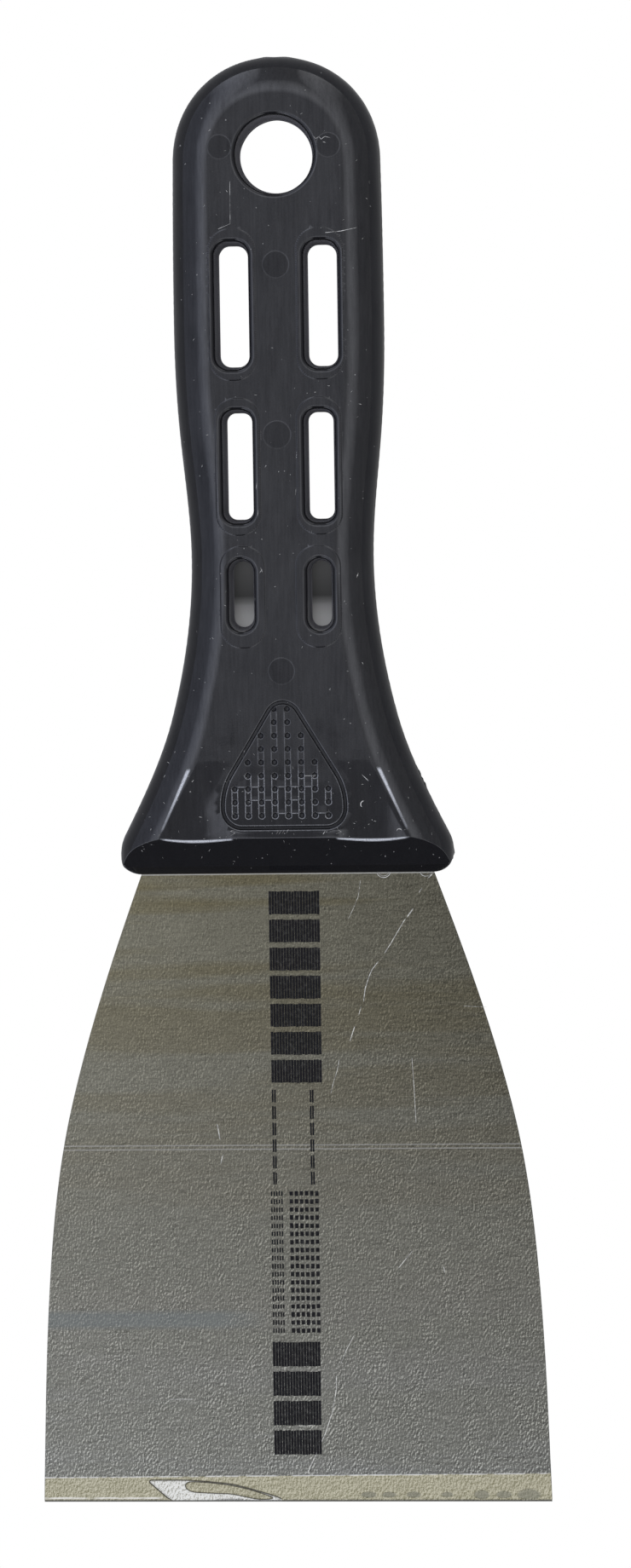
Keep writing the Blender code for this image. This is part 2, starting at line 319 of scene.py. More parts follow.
class Plan:
    """Points of a plan view, each kept a least distance from the ones before it."""

    CELL = 0.35

    def __init__(self):
        self.points = []
        self.edges = []
        self.cells = {}

    def cell(self, x, y):
        return math.floor(x / self.CELL), math.floor(y / self.CELL)

    def put(self, x, y):
        self.cells.setdefault(self.cell(x, y), []).append((x, y))
        self.points.append((x, y))

    def crowded(self, x, y, apart):
        reach = math.ceil(apart / self.CELL)
        cx, cy = self.cell(x, y)
        return any(
            (px - x) ** 2 + (py - y) ** 2 < apart**2
            for i in range(cx - reach, cx + reach + 1)
            for j in range(cy - reach, cy + reach + 1)
            for px, py in self.cells.get((i, j), ())
        )

    def loop(self, points):
        """Adds a boundary, which stays an unbroken line of edges. Returns its points' indices."""
        first = len(self.points)
        for x, y in points:
            self.put(x, y)
        indices = list(range(first, len(self.points)))
        self.edges += list(zip(indices, indices[1:] + indices[:1]))
        return indices

    def add(self, points, apart):
        for x, y in points:
            if not self.crowded(x, y, apart):
                self.put(x, y)

    def rows(self, line, gaps, apart, turned=lambda points: points):
        """Adds copies of a line, moved to its left by each gap."""
        for gap in gaps:
            self.add(turned(inset(line, gap)), apart)

    def fill(self, spacing, half_width, low, high):
        """Fills the rest with a triangular grid."""
        rows = round((high - low) / (spacing * math.sqrt(3) / 2))
        for row in range(rows + 1):
            y = low + (high - low) * row / rows
            count = math.ceil(half_width / spacing)
            for column in range(-count, count + 1):
                x = (column + (row % 2) / 2) * spacing
                if not self.crowded(x, y, 0.62 * spacing):
                    self.put(x, y)

    def triangles(self, inside):
        """Points, triangles and where each given point went. inside says which places to keep."""
        keep = inside(*np.array(self.points).T, 1e-4)
        keep[[i for edge in self.edges for i in edge]] = True
        new = np.cumsum(keep) - 1
        points = [Vector(p) for p, kept in zip(self.points, keep) if kept]
        edges = [(int(new[a]), int(new[b])) for a, b in self.edges]
        out, _, faces, came_from, _, _ = delaunay_2d_cdt(points, edges, [], 0, 1e-7)
        place = np.array([p[:] for p in out])
        moved = {old: i for i, olds in enumerate(came_from) for old in olds}
        faces = np.array(faces)
        middle = place[faces].mean(1)
        faces = faces[inside(middle[:, 0], middle[:, 1], 0.0)]
        return place, faces, lambda loop: [moved[int(new[i])] for i in loop]


def unit(vectors):
    return vectors / np.linalg.norm(vectors, axis=1)[:, None]


def slopes(height, x, y, step=0.02):
    """Unit normals of the surface z = height(x, y)."""
    dx = (height(x + step, y) - height(x - step, y)) / (2 * step)
    dy = (height(x, y + step) - height(x, y - step)) / (2 * step)
    return unit(np.column_stack((-dx, -dy, np.ones(len(x)))))


def outward(points):
    """Outward plan normals of a counter-clockwise loop."""
    along = np.roll(points, -1, axis=0) - np.roll(points, 1, axis=0)
    return unit(np.column_stack((along[:, 1], -along[:, 0])))


def leftward(points):
    """Unit normals to the left of a line."""
    along = np.gradient(points, axis=0)
    return unit(np.column_stack((-along[:, 1], along[:, 0])))


def inset(points, distance):
    """A line of points moved to its left."""
    return points + distance * leftward(points)


def plate(name, plan, inside, rim, mouths, upper, lower, seam, marks):
    """Closed solid between z = upper(x, y) and z = -lower(x, y) over a plan.

    rim is the plan's outer loop, with a wall and a seam that stands out by seam(points). At a mouth,
    the loop of a through opening, the two faces meet in one edge. marks are named values per point.
    """
    place, faces, moved = plan.triangles(inside)
    x, y = place.T
    top = np.column_stack((place, upper(x, y)))
    bottom = np.column_stack((place, -lower(x, y)))
    top_normal = slopes(upper, x, y)
    bottom_normal = slopes(lower, x, y) * (1, 1, -1)
    count = len(place)
    under = np.arange(count) + count
    for mouth in mouths:
        loop = moved(mouth)
        top[loop, 2] = 0.0
        under[loop] = loop
    edge = moved(rim)
    wall = outward(place[edge])
    middle = np.column_stack((place[edge] + wall * seam(place[edge])[:, None], np.zeros(len(edge))))
    points = np.concatenate((top, bottom, middle))
    polygons = [tuple(f) for f in faces]
    normals = [top_normal[faces].reshape(-1, 3)]
    flipped = faces[:, ::-1]
    polygons += [tuple(f) for f in under[flipped]]
    normals.append(bottom_normal[flipped].reshape(-1, 3))
    flat = np.column_stack((wall, np.zeros(len(edge))))
    for k, i in enumerate(edge):
        n = (k + 1) % len(edge)
        j = edge[n]
        polygons.append((2 * count + k, 2 * count + n, j, i))
        polygons.append((int(under[i]), int(under[j]), 2 * count + n, 2 * count + k))
        normals.append(flat[[k, n, n, k, k, n, n, k]])
    used = np.zeros(len(points), bool)
    used[[i for polygon in polygons for i in polygon]] = True
    number = np.cumsum(used) - 1
    mesh = bpy.data.meshes.new(name)
    mesh.from_pydata(points[used] * MM, [], [number[list(p)].tolist() for p in polygons])
    mesh.shade_smooth()
    mesh.normals_split_custom_set(np.concatenate(normals).tolist())
    for mark, value in marks.items():
        layer = mesh.attributes.new(mark, "FLOAT", "POINT")
        values = np.concatenate((value(x, y), value(x, y), np.zeros(len(edge))))
        layer.data.foreach_set("value", values[used].astype(np.float32))
    return placed(name, mesh)


def placed(name, mesh):
    """An object for a mesh drawn about the knife's own centre, moved to its place in the frame."""
    mesh.transform(Matrix.Translation(CENTRE))
    obj = bpy.data.objects.new(name, mesh)
    bpy.context.scene.collection.objects.link(obj)
    return obj


# Handle


def handle_side(foot):
    """Right side of the handle, from a foot below the shoulder up to the end's middle."""
    shoulder_x = SIDE_KNOTS[0][1] - SHOULDER_RADIUS * math.cos(SHOULDER_TURN)
    shoulder_y = SIDE_KNOTS[0][0] - SHOULDER_RADIUS * math.sin(SHOULDER_TURN)
    shoulder = arc(shoulder_x, shoulder_y, SHOULDER_RADIUS, 0, SHOULDER_TURN)
    low, high = SIDE_KNOTS[0][0], SIDE_KNOTS[-1][0]
    y = np.linspace(low, high, 900)
    side = np.column_stack((hermite(SIDE_KNOTS, y), y))
    across, along = SIDE_KNOTS[-1][1], HANDLE_LENGTH - high
    turn = np.linspace(0, math.pi / 2, 260)
    power = 2 / END_SQUARENESS
    end_x = across * np.maximum(np.cos(turn), 0) ** power
    end_y = high + along * np.sin(turn) ** power
    end = np.column_stack((end_x, end_y))
    return chain(*foot(shoulder[0]), shoulder, side, end)


def rim_foot(shoulder):
    return [straight((shoulder[0], -8.0), shoulder)]


def plan_foot(shoulder):
    corner_x = shoulder[0] - CORNER_RADIUS
    corner = arc(corner_x, CORNER_RADIUS, CORNER_RADIUS, -math.pi / 2, 0)
    return [straight((0.0, 0.0), corner[0]), corner, straight(corner[-1], shoulder, 0.05)]


def thumb_line():
    apex_y, apex_radius = THUMB_APEX
    side_x, side_y, side_radius = THUMB_SIDE
    corner_x, corner_y, corner_radius = THUMB_CORNER
    low = corner_y - corner_radius
    right = chain(
        straight((0.0, low), (corner_x, low)),
        arc(corner_x, corner_y, corner_radius, -math.pi / 2, 0),
        arc(side_x, side_y, side_radius, 0, THUMB_TURN),
        arc(0, apex_y, apex_radius, THUMB_TURN, math.pi / 2),
    )
    right[-1, 0] = 0.0
    return mirrored(spaced(right, 0.12))


RIM = Line(handle_side(rim_foot))
OUTLINE = Line(handle_side(plan_foot))
THUMB = Line(thumb_line(), closed=True)


def dimple_places():
    x, y = DIMPLE_ORIGIN
    return [
        (x + (column - (count - 1) / 2) * DIMPLE_PITCH, y + row * DIMPLE_PITCH)
        for row, count in enumerate(DIMPLE_COUNTS)
        for column in range(count)
    ]


def dimple_links():
    """Tool marks between neighbouring dimples, as thin lines (start, end)."""
    places = {(round(x, 3), round(y, 3)) for x, y in dimple_places()}
    links = []
    for x, y in sorted(places):
        above = (x, round(y + DIMPLE_PITCH, 3))
        beside = (round(x + DIMPLE_PITCH, 3), y)
        if above in places:
            for side in (-1, 1):
                if RANDOM.random() < 0.8:
                    line = x + side * DIMPLE_RADIUS
                    links.append(((line, y + 0.1), (line, above[1] - 0.1)))
        if beside in places and RANDOM.random() < 0.4 and y < DIMPLE_ORIGIN[1] + 3 * DIMPLE_PITCH:
            line = y + 0.8 * DIMPLE_RADIUS
            links.append(((x + DIMPLE_RADIUS, line), (beside[0] - DIMPLE_RADIUS, line)))
    return links


DIMPLES = dimple_places()
LINKS = dimple_links()
LINK_WIDTH = 0.09
LINK_HEIGHT = 0.022


def front_height(y):
    """Height of the flange's front face."""
    return np.interp(y, *np.array(FRONT_PROFILE).T) + np.minimum(y, 0.0)


def rim_height(ax, y):
    """Height of the rounded rim, which ends level with the web RIM_RADIUS inside the outline."""
    inside = np.clip(RIM.distance(ax, y), 0, RIM_RADIUS)
    return SEAM + np.sqrt(RIM_RADIUS**2 - (RIM_RADIUS - inside) ** 2)


def crest_x(y):
    """Distance from the axis of the crest between a finger hollow and the rim."""
    (x0, y0), (x1, y1) = CREST_LOW, CREST_HIGH
    return x0 + (x1 - x0) * (y - y0) / (y1 - y0)


def hollow(ax, y, thumb_gap):
    """Depth of the finger hollow beside the thumb rest."""
    beside = np.maximum(thumb_gap, ax - THUMB_STRIP) - thumb_gap
    inner = np.clip(thumb_gap + beside * ramp(THUMB_CORNER[1] - y, 0, 3.6) - 0.25, 0, None)
    outer = np.clip((crest_x(y) - ax) * CREST_LEAN, 0, None)
    across = 4 * inner * outer / np.maximum(inner + outer, 0.01) ** 2
    fade = np.clip((HOLLOW_TOP - y) / (HOLLOW_TOP - HOLLOW_FRONT), 0, 1) ** 1.3
    return HOLLOW_DEPTH * across * fade


def crest(x, y):
    """1 on the crests round the finger hollows, and 0 away from them."""
    ax = np.abs(x)
    along = ramp(y, CREST_LOW[1] - 0.2, 0.8) * (1 - ramp(y, CREST_HIGH[1] - 0.5, 0.5))
    width = 0.15 + 0.17 * np.clip((y - CREST_LOW[1]) / (CREST_HIGH[1] - CREST_LOW[1]), 0, 1)
    rim = (1 - ramp(np.abs(crest_x(y) - ax) * CREST_LEAN, width * 0.4, width * 0.7)) * along
    rim = rim * (0.35 + 0.65 * ramp(y, CREST_LOW[1] + 1, 6))
    front_web = WEB_HALF - hollow(ax, y, -THUMB.distance(x, y))
    gap = np.abs(front_height(y) - front_web)
    across = ramp(ax, THUMB_STRIP - 0.4, 0.4) * (1 - ramp(ax, CREST_LOW[0] - 0.8, 1.2))
    bulge = np.sin(np.pi * np.clip((ax - THUMB_STRIP) / (CREST_LOW[0] - THUMB_STRIP), 0, 1))
    front = (1 - ramp(gap, 0.02 + 0.09 * bulge, 0.1)) * across * (y < 8)
    return np.maximum(rim, front)


def opening_gap(ax, y):
    """Distance outside the throat of the nearest opening or window."""
    return np.minimum.reduce([box_distance(ax, y, box) for box in OPENINGS])


def edges(x, y):
    """1 along the thumb rest's borders, its dimples' lower sides and the links between them. The pale colour
    on the borders and the dimples' lower sides is painted highlight.
    """
    out = np.zeros(len(x))
    near = (y < THUMB_APEX[0] + 1) & (np.abs(x) < THUMB_CORNER[1] + 2)
    x, y = x[near], y[near]
    inside = THUMB.distance(x, y)
    gap = np.minimum(np.abs(inside + BEVEL / 2), np.abs(inside - THUMB_GROOVE[-1][0] + BEVEL / 2))
    for cx, cy in DIMPLES:
        ring = np.abs(np.hypot(x - cx, y - cy) - DIMPLE_RADIUS - 0.06)
        gap = np.minimum(gap, ring + 0.1 * (y > cy + 0.15))
    for link in LINKS:
        gap = np.minimum(gap, segment_distance(x, y, *link) + 0.015)
    out[near] = (1 - ramp(gap, 0.02, 0.05)) * (1 - 0.75 * ramp(y, DIMPLE_ORIGIN[1] + 6, 1.5))
    return out


def shine_and_painted_light(x, y):
    """How brightly the face shines, 0.5 for plain plastic. Painted highlights and shade: over 0.5 in light
    lines on the ridges just outside the pads and mouths and on the ejector marks' upper sides, under it in
    dark lines along the grooves just inside the pads, in the mouths and on the marks' lower sides; the marks'
    sunken insides are also duller.
    """
    ax = np.abs(x)
    tone = np.full(len(x), 0.5)
    for inner, outer, low, high in PADS:
        gap = box_distance(ax, y, pad_box(inner, outer, low, high))
        upper = ramp(y, (low + high) / 2 - 2, 4)
        tone += (0.16 + 0.24 * upper) * bell(gap, 0.05, 0.07)
        tone -= (0.4 - 0.15 * upper) * bell(gap, -0.07, 0.07)
    gap = opening_gap(ax, y)
    tone += 0.3 * bell(gap, 1.1, 0.09) - 0.5 * bell(gap, 0.84, 0.14)
    for cx, cy, radius in EJECTOR_MARKS:
        gap = np.hypot(x - cx, y - cy) - radius
        tone += 0.3 * bell(gap, 0.0, 0.08) * np.clip((y - cy) / radius, -1, 1)
        tone -= 0.15 * (1 - ramp(gap, -0.1, 0.12))
    return tone


def pad_box(inner, outer, low, high):
    """A pad's outline as a round-cornered box."""
    width = outer - inner
    return (inner + outer) / 2, (low + high) / 2, width, high - low, 2 * PAD_CORNER / width


def web(ax, y, thumb_gap):
    strip = ramp(THUMB_STRIP + 0.3 - ax, 0, 0.6) * (1 - ramp(y, 6.0, 1.3))
    return WEB_HALF - hollow(ax, y, thumb_gap) + 0.03 * strip


def thumb_rest(x, y, inside):
    """Depth of the grooved recess and its dimples, at a distance inside its outline."""
    depth = np.interp(inside, *np.array(THUMB_GROOVE).T)
    panel = inside > THUMB_GROOVE[-1][0]
    px, py = x[panel], y[panel]
    sunk = np.zeros(len(px))
    for cx, cy in DIMPLES:
        gap = DIMPLE_RADIUS - np.hypot(px - cx, py - cy)
        sunk = np.maximum(sunk, BEVEL_SLOPE * np.clip(gap + BEVEL, 0, BEVEL))
        sunk = np.maximum(sunk, np.interp(gap, (0, 0.16), (BEVEL * BEVEL_SLOPE, DIMPLE_DEPTH)) * (gap > 0))
    for start, end in LINKS:
        gap = segment_distance(px, py, start, end)
        ridge = -LINK_HEIGHT * np.clip(1 - gap / LINK_WIDTH, 0, 1)
        sunk = np.where(sunk < 0.02, np.minimum(sunk, ridge), sunk)
    depth[panel] += sunk
    return depth


def opened(z, gap, floor=None):
    """A face of height z cut by a drafted opening with a rounded mouth, gap outside its throat."""
    down = rounded(gap - DRAFT, MOUTH_RADIUS)
    down = down + BEVEL_SLOPE * np.clip(DRAFT + MOUTH_RADIUS + BEVEL - gap, 0, BEVEL + MOUTH_RADIUS)
    throat = np.clip((DRAFT - gap) / DRAFT, 0, None)
    down = down + throat * (z - MOUTH_RADIUS - BEVEL_SLOPE * (BEVEL + MOUTH_RADIUS))
    return z - down if floor is None else np.maximum(z - down, floor)


def handle_face(x, y, marks):
    """Height of the handle's face above the middle plane."""
    ax = np.abs(x)
    thumb = THUMB.distance(x, y)
    body = rim_height(ax, y) + web(ax, y, -thumb) - WEB_HALF
    z = smooth_min(body, front_height(y), 0.07)
    z = z - rounded(OUTLINE.distance(ax, y), EDGE_FILLET)
    for inner, outer, low, high in PADS:
        gap = box_distance(ax, y, pad_box(inner, outer, low, high))
        z = z + PAD_HEIGHT * ramp(-gap, -PAD_SLOPE / 2, PAD_SLOPE)
    for box in THROUGH:
        z = opened(z, box_distance(ax, y, box))
    z = opened(z, box_distance(ax, y, WINDOW), WINDOW_FLOOR)
    z = z - thumb_rest(x, y, thumb)
    if marks:
        for cx, cy, radius in EJECTOR_MARKS:
            gap = np.abs(np.hypot(x - cx, y - cy) - radius)
            z = z - 0.025 * np.clip(1 - gap / 0.09, 0, 1)
    return z


def walls(x, y):
    """1 on the walls of the openings, which get a paler colour of painted light, about half in the dimples,
    and 0 elsewhere.
    """
    ax = np.abs(x)
    gap = opening_gap(ax, y)
    dimple = np.minimum.reduce([np.hypot(x - cx, y - cy) for cx, cy in DIMPLES])
    return np.maximum(1 - ramp(gap, 0.4, 0.15), 0.55 * (1 - ramp(dimple, DIMPLE_RADIUS - 0.06, 0.06)))


def upper_face(x, y):
    return handle_face(x, y, True)


def lower_face(x, y):
    return handle_face(x, y, False)


def both(points):
    """The points and their mirror images."""
    points = np.asarray(points)
    return np.concatenate((points, points * (-1, 1)))


def facet_side():
    """The line where the front face meets the rim, from the flange's corner inwards."""
    line = []
    for y in np.arange(1.2, 6.2, 0.12):
        ax = np.linspace(12.0, 25.5, 400)
        over = rim_height(ax, np.full(len(ax), y)) - front_height(y)
        if over[0] > 0 > over[-1]:
            line.append((np.interp(0, -over, ax), y))
    return np.array(line)


def opening_loops(plan):
    """The throats of the through openings, and rings up their walls and round their mouths."""
    mouths = [plan.loop(box_loop(HOLE, 0, 0.3))]
    for slot in SLOTS:
        for side in (-1, 1):
            mouths.append(plan.loop(box_loop((side * slot[0], *slot[1:]), 0, 0.3)))
    rings = (0.12, 0.25, 0.38, 0.5, 0.54, 0.6, 0.68, 0.78, 0.88, 0.94, 1.05, 1.1, 1.2)
    for box in OPENINGS:
        for ring in rings if box is not WINDOW else (0.0, *rings):
            for side in (-1, 1) if box[0] else (1,):
                plan.add(box_loop((side * box[0], *box[1:]), ring, 0.3), 0.045)
    return mouths


def handle_plan():
    plan = Plan()
    right = spaced(OUTLINE.points, 0.42)
    rim = plan.loop(mirrored(right))
    mouths = opening_loops(plan)
    for x, y in DIMPLES:
        for radius in (0.0, 0.28, 0.4, 0.45, 0.5, 0.55, 0.6):
            plan.add(arc(x, y, radius, 0, 2 * math.pi, 0.16)[:-1], 0.035)
    for start, end in LINKS:
        line = straight(start, end, 0.2)
        gaps = [share * LINK_WIDTH for share in (-1.15, -0.85, -0.15, 0.15, 0.85, 1.15)]
        plan.rows(line, gaps, 0.02)
    thumb = spaced(np.concatenate((THUMB.points, THUMB.points[:1])), 0.2)[:-1]
    plan.rows(thumb, [step + side for step, _ in THUMB_GROOVE for side in (-0.02, 0.02)], 0.03)
    for x, y, radius in EJECTOR_MARKS:
        for ring in (-0.11, -0.07, -0.02, 0.02, 0.07, 0.11):
            plan.add(arc(x, y, radius + ring, 0, 2 * math.pi, 0.22)[:-1], 0.03)
    crest_line = straight((crest_x(6.4), 6.4), (crest_x(17.2), 17.2), 0.22)
    plan.rows(crest_line, (-0.36, -0.24, -0.12, 0.0, 0.12, 0.24, 0.36), 0.08, both)
    plan.rows(facet_side(), (-0.18, -0.1, -0.04, 0.02, 0.08, 0.16), 0.05, both)
    bends = [y + side for y, _ in FRONT_PROFILE[1:3] for side in (-0.06, 0.06)]
    for y in (0.1, 0.2, 0.32, 0.8, *bends, 2.1, 2.6, 3.3, 4.0, 4.4, 4.8):
        plan.add(both(straight((0.0, y), (PAST_FLANGE, y), 0.35)), 0.07)
    for y in np.arange(5.2, 7.2, 0.11):
        plan.add(both(straight((0.0, y), (24.0, y), 0.22)), 0.09)
    for inner, outer, low, high in PADS:
        for ring in (-0.14, -0.08, -0.03, 0.01, 0.06, 0.12):
            plan.add(both(box_loop(pad_box(inner, outer, low, high), ring, 0.35)), 0.035)
    for turn in np.radians(np.arange(6, 91, 6)):
        ring = inset(spaced(RIM.points, 0.5), RIM_RADIUS * (1 - math.cos(turn)))
        plan.add(both(ring), 0.06 + 0.22 * math.sin(turn))
    plan.fill(HANDLE_GRID, PAST_FLANGE, 0.3, HANDLE_LENGTH)
    return plan, rim, mouths


def in_handle(x, y, margin):
    ax = np.abs(x)
    inside = OUTLINE.distance(ax, y) > margin
    for box in THROUGH:
        inside &= box_distance(ax, y, box) > margin
    return inside


# Burrs on the right side of the moulding seam and the gate's mark at its end: (y, reach, height)
BURRS = ((14.5, 1.6, 0.22), (2.6, 0.5, 0.3))
GATE = (HANDLE_LENGTH, 0.25, 0.1)


def burr(y, place, reach, height):
    return height * np.exp(-(((y - place) / reach) ** 2))


def seam_flash(points):
    """How far the moulding seam stands out: a fine line with a few ragged burrs."""
    x, y = points.T
    ragged = np.array([0.5 + 0.5 * math.sin(7.1 * b + 1.7 * a) * math.sin(3.3 * b) for a, b in points])
    burrs = (x > 0) * sum(burr(y, *place) for place in BURRS) + burr(y, *GATE)
    return (y > 2.0) * (0.03 + 0.03 * ragged + burrs * ragged)


def make_handle():
    plan, rim, mouths = handle_plan()
    return plate(
        "moulded_handle", plan, in_handle, rim, mouths, upper_face, lower_face, seam_flash,
        {"crest": crest, "wall": walls, "edge": edges, "shine_and_painted_light": shine_and_painted_light},
    )


# Blade


def blade_line():
    """Right side of the blade and tang, from the middle of the working edge to the tang's end."""
    y = np.linspace(-BLADE_SHOWN, 0.0, 700)
    side = np.column_stack((hermite(BLADE_KNOTS, y), y))
    x, end = TANG_NARROW[0], TANG_END
    corner = arc(x - TANG_CORNER, end - TANG_CORNER, TANG_CORNER, 0, math.pi / 2)
    return chain(
        straight((0.0, -BLADE_SHOWN), side[0]),
        side,
        straight(side[-1], SHOULDER),
        straight(SHOULDER, TANG_NARROW),
        straight(TANG_NARROW, corner[0]),
        corner,
        straight(corner[-1], (0.0, end)),
    )


BLADE = Line(blade_line())

# Scratches on the blade's face: width, then the points that each one runs through
BLADE_SCRATCHES = (
    (0.16, (22.5, -0.3), (21.7, -1.05)), (0.09, (20.8, -2.5), (20.3, -3.3)),
    (0.16, (19.4, -5.7), (18.4, -7.1)),
    (0.1, (18.2, -7.3), (17.9, -7.7), (16.0, -10.9), (14.85, -12.7)),
    (0.12, (13.9, -13.9), (12.9, -15.2), (12.4, -16.3), (11.8, -18.1), (11.5, -20.2)),
    (0.09, (11.1, -21.0), (10.7, -22.4)), (0.11, (10.1, -24.0), (9.3, -26.4)),
    (0.05, (11.3, -1.2), (10.9, -3.8), (10.1, -5.7), (9.3, -7.3)), (0.05, (27.0, -21.0), (30.6, -21.2)),
    (0.07, (7.6, -29.2), (7.3, -30.8), (6.6, -33.0), (6.2, -34.6)),
    (0.08, (18.9, -29.0), (19.2, -34.3), (19.4, -39.3)),
    (0.08, (9.3, -72.8), (8.0, -75.3), (7.1, -77.5)),
    (0.11, (6.4, -79.3), (6.4, -81.3), (5.8, -84.8), (4.6, -88.4), (3.0, -91.9), (1.6, -94.9)),
    (0.09, (18.6, -59.5), (16.3, -62.3)), (0.11, (23.4, -61.9), (23.6, -63.0)),
    (0.08, (-20.2, -83.0), (-16.1, -83.0)), (0.07, (-0.1, -87.4), (2.6, -87.2)),
    (0.14, (-11.6, -39.3), (-11.2, -41.8)), (0.1, (-10.8, -44.1), (-11.2, -45.7)),
)


# Bare steel along the edge where the lacquer has come off, and an island of lacquer left in it
CHIP = (
    (-23.7, -95.95), (-20.0, -99.3), (-2.3, -99.42), (-2.6, -98.9), (-4.0, -98.4), (-7.1, -97.45),
    (-10.3, -96.6), (-14.5, -96.15), (-17.65, -95.95),
)
ISLAND = (
    (-17.3, -96.2), (-17.8, -97.0), (-16.8, -97.9), (-13.4, -98.1), (-10.3, -98.2), (-8.2, -98.7),
    (-6.0, -99.15), (-3.6, -99.0), (-4.6, -98.45), (-7.1, -97.6), (-10.3, -96.8), (-14.5, -96.3),
)
# Dents along the edge: (x, half width, half height)
DENTS = (
    (11.2, 1.3, 0.5), (14.4, 1.2, 0.45), (18.25, 1.2, 0.5), (23.5, 1.0, 0.4), (28.9, 1.3, 0.75),
    (32.4, 1.3, 0.6), (36.3, 2.0, 0.95),
)
DENT_Y = 1.15 - BLADE_SHOWN


def softened(corners, most=0.5):
    """A closed line of corners with each one cut off twice, by at most the given length."""
    for _ in range(2):
        cut = []
        for k, corner in enumerate(corners):
            for other in (corners[k - 1], corners[(k + 1) % len(corners)]):
                length = math.dist(corner, other)
                share = min(0.25, most / length)
                cut.append(tuple(a + share * (b - a) for a, b in zip(corner, other)))
        corners, most = tuple(cut), most / 2
    return corners


def closed_line(corners):
    corners = softened(corners)
    points = chain(*[straight(a, b, 0.2) for a, b in zip(corners, corners[1:] + corners[:1])])
    return Line(points[:-1], closed=True)


CHIP_LINE = closed_line(CHIP)
ISLAND_LINE = closed_line(ISLAND)


def near_edge(x, y, value):
    """The value worked out only on the part of the blade near its working edge."""
    out = np.zeros(len(x))
    near = y < GRIND_WIDTH + 1 - BLADE_SHOWN
    out[near] = value(x[near], y[near])
    return out


def chipped(x, y):
    def value(x, y):
        return ramp(CHIP_LINE.distance(x, y), -0.02, 0.06) * ramp(-ISLAND_LINE.distance(x, y), -0.02, 0.06)
    return near_edge(x, y, value)


def scarred(x, y):
    """1 on the dark outlines of the chip, and 0 elsewhere."""
    def value(x, y):
        outer = np.abs(CHIP_LINE.distance(x, y)) + 0.5 * (y < 0.4 - BLADE_SHOWN)
        inner = np.abs(ISLAND_LINE.distance(x, y)) + 0.02
        return 1 - ramp(np.minimum(outer, inner), 0.06, 0.1)
    return near_edge(x, y, value)


def dented(x, y):
    gap = [np.hypot((x - cx) / a, (y - DENT_Y) / b) for cx, a, b in DENTS]
    return 1 - ramp(np.minimum.reduce(gap), 0.75, 0.3)


def grind_line(x):
    """Y of the line where the grinding starts."""
    return -BLADE_SHOWN + GRIND_WIDTH + GRIND_SLANT * x


def blade_face(x, y):
    z = np.full(len(x), BLADE_HALF)
    down = np.clip((grind_line(x) - y) / GRIND_WIDTH, 0, None)
    z = z - (BLADE_HALF - EDGE_HALF) * down
    z = z - 0.09 * np.clip((-BLADE_SHOWN + 0.28 - y) / 0.28, 0, 1)
    z = z - rounded(BLADE.distance(np.abs(x), y), 0.08)
    return z - 0.03 * dented(x, y)


def upper_blade(x, y):
    return blade_face(x, y) - 0.012 * chipped(x, y)


def blade_plan():
    plan = Plan()
    rim = plan.loop(mirrored(spaced(BLADE.points, 0.5)))
    for line in (CHIP_LINE, ISLAND_LINE):
        plan.rows(line.points, (-0.16, -0.1, -0.04, 0.01, 0.06, 0.12), 0.03)
    for x, a, b in DENTS:
        turn = np.linspace(0, 2 * math.pi, 25)[:-1]
        for ring in (0.3, 0.6, 0.75, 0.87, 0.98, 1.1):
            plan.add(np.column_stack((x + ring * a * np.cos(turn), DENT_Y + ring * b * np.sin(turn))), 0.05)
    plan.rows(spaced(BLADE.points, 0.5), (0.03, 0.06, 0.1), 0.025, both)
    for y in (0.14, 0.28, 0.34, 0.8, 1.4, 2.0, 2.6, 3.2, 3.6, 3.85, 4.05, 4.3, 4.6, 5.2):
        plan.add(both(straight((0.0, y - BLADE_SHOWN), (EDGE_HALF_WIDTH, y - BLADE_SHOWN), 0.4)), 0.1)
    plan.fill(BLADE_GRID, EDGE_HALF_WIDTH, -BLADE_SHOWN + 0.4, TANG_END - 0.2)
    return plan, rim


def in_blade(x, y, margin):
    return BLADE.distance(np.abs(x), y) > margin


def no_seam(points):
    return np.zeros(len(points))


BLADE_MARKS = {"chipped": chipped, "scarred": scarred, "dented": dented}


def make_blade():
    plan, rim = blade_plan()
    return plate("steel_blade", plan, in_blade, rim, [], upper_blade, blade_face, no_seam, BLADE_MARKS)


# Printed blocks on the blade


# The printed column's left side and top, and the heights of the ink film's faces
INK_LEFT = -3.0
INK_TOP = -2.8
INK_LEVELS = (BLADE_HALF - 0.01, BLADE_HALF + 0.012)
# Groups of equal rows: (rows, space above, step, height), then each row's blocks from the left side:
# (low, high, spacing of the fine lines, share of it that is inked)
INK_ROWS = (
    (7, 0.0, 4.4, 3.7, ((0.0, 7.9, 0.43, 0.92),)),
    (6, 0.3, 2.6, 2.1, ((0.0, 0.7, 0.35, 0.75), (5.9, 6.6, 0.35, 0.75))),
    (18, 0.4, 1.28, 0.85, ((-0.4, 1.6, 0.4, 0.6), (2.5, 7.3, 0.8, 0.7))),
    (4, 0.9, 4.7, 4.0, ((-0.5, 7.0, 0.43, 0.92),)),
)
BAR_FACES = ((3, 2, 1, 0), (4, 5, 6, 7), (0, 1, 5, 4), (1, 2, 6, 5), (2, 3, 7, 6), (3, 0, 4, 7))


def ink_block(x0, x1, y0, y1, spacing, share):
    """Fine ink lines side by side, as (x low, x high, y low, y high), with ragged ends."""
    lines = max(1, round((x1 - x0) / spacing))
    for k in range(lines):
        x = x0 + (x1 - x0) * k / lines
        ragged = [RANDOM.uniform(0, 0.12) for _ in range(2)]
        yield x, x + share * (x1 - x0) / lines, y1 + ragged[0], y0 - ragged[1]


def ink_strokes():
    """Plain blocks in rows, one under the other."""
    y = INK_TOP
    for rows, space, step, height, blocks in INK_ROWS:
        y -= space
        for _ in range(rows):
            for low, high, spacing, share in blocks:
                yield from ink_block(INK_LEFT + low, INK_LEFT + high, y, y - height, spacing, share)
            y -= step


